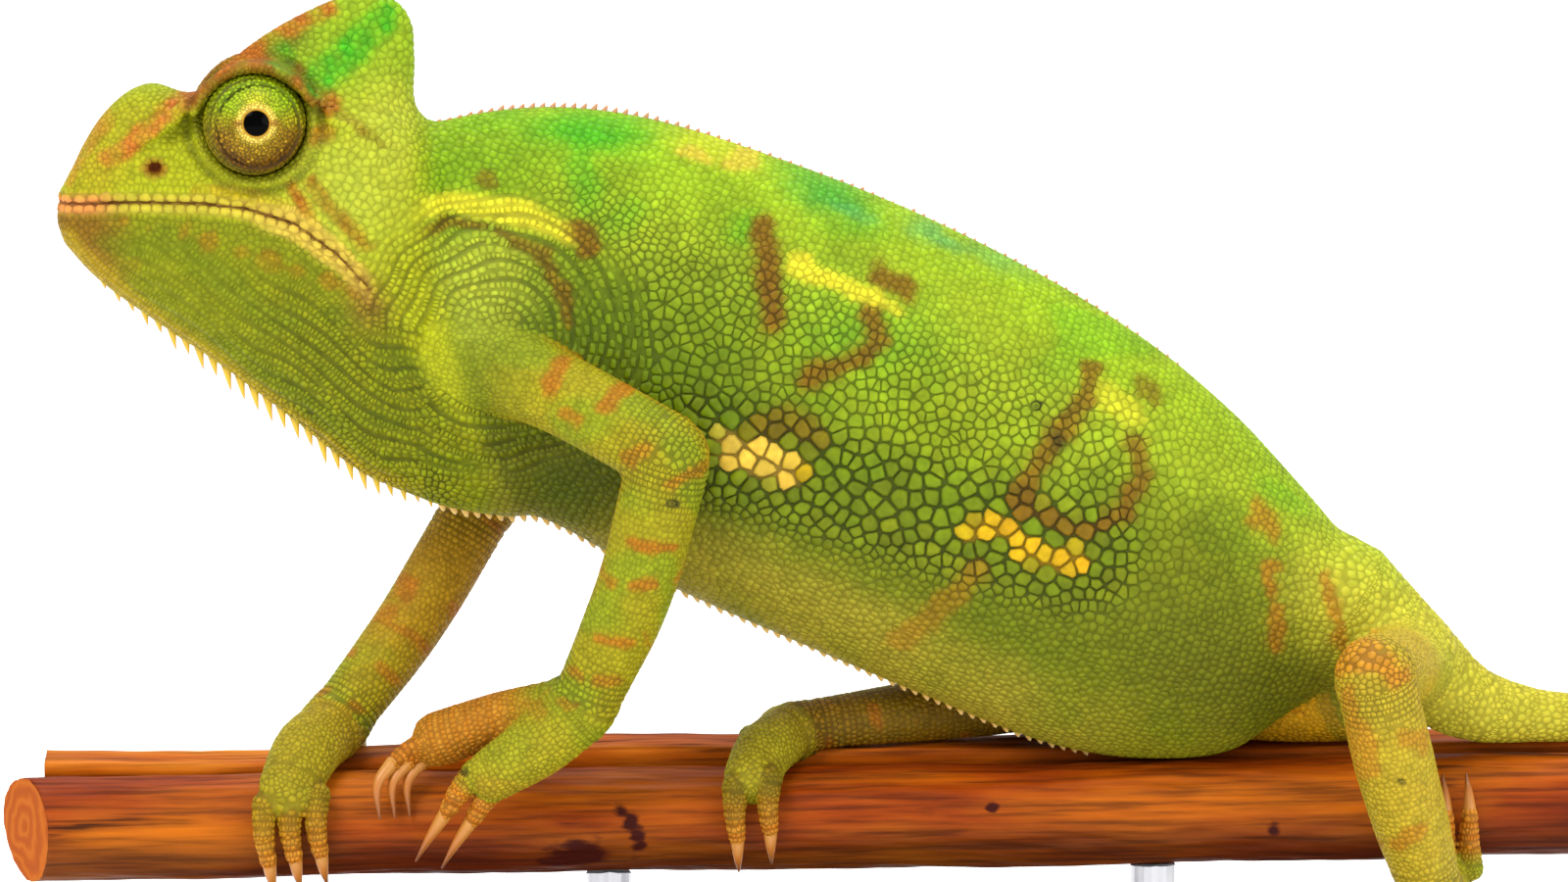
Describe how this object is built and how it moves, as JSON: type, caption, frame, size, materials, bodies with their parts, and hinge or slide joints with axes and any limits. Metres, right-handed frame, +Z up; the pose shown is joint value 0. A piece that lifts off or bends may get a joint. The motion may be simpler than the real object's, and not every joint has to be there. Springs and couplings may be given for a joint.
{
  "type": "veiled chameleon on a display perch",
  "caption": "Life-size female veiled chameleon gripping a cut length of split branch with its feet, tail coiled behind it, held up on a plain display stand.",
  "frame": {"origin": "centre of the underside of the stand's flat base", "axes": "+Z up, +X from the snout towards the tail along the perch, +Y to the animal's right"},
  "size_m": [0.2151, 0.084, 0.1452],
  "materials": {
    "body_skin": "satin scaled skin, lime green with emerald, brown and yellow marks",
    "throat_skin": "satin scaled skin, olive green with a yellow crest",
    "leg_skin": "satin scaled skin, green with orange-brown bars",
    "toe_skin": "satin scaled skin, ochre, with tan claws",
    "eye": "satin scaled eyelid cone round a glossy black pupil",
    "perch_wood": "weathered red-brown wood, satin",
    "split_wood": "split orange-brown wood, dull",
    "stand_plate": "satin black plate",
    "stand_steel": "brushed steel"
  },
  "bodies": {
    "root": {"head": "body_skin", "neck": "body_skin", "trunk": "body_skin", "tail_base": "body_skin", "tail_middle": "body_skin", "tail_coil": "body_skin", "tail_tip": "body_skin", "jaw_and_throat": "throat_skin", "front_left_upper_arm": "leg_skin", "front_left_forearm": "leg_skin", "hind_left_thigh": "leg_skin", "hind_left_shank": "leg_skin", "front_right_upper_arm": "leg_skin", "front_right_forearm": "leg_skin", "hind_right_thigh": "leg_skin", "hind_right_shank": "leg_skin", "front_left_inner_toes": "toe_skin", "front_left_outer_toes": "toe_skin", "front_right_inner_toes": "toe_skin", "front_right_outer_toes": "toe_skin", "hind_left_inner_toes": "toe_skin", "hind_left_outer_toes": "toe_skin", "hind_right_inner_toes": "toe_skin", "hind_right_outer_toes": "toe_skin", "eye_left": "eye", "eye_right": "eye", "perch_pole": "perch_wood", "perch_slat": "split_wood", "stand_base": "stand_plate", "stand_rod_front": "stand_steel", "stand_rod_rear": "stand_steel"}
  },
  "joints": []
}
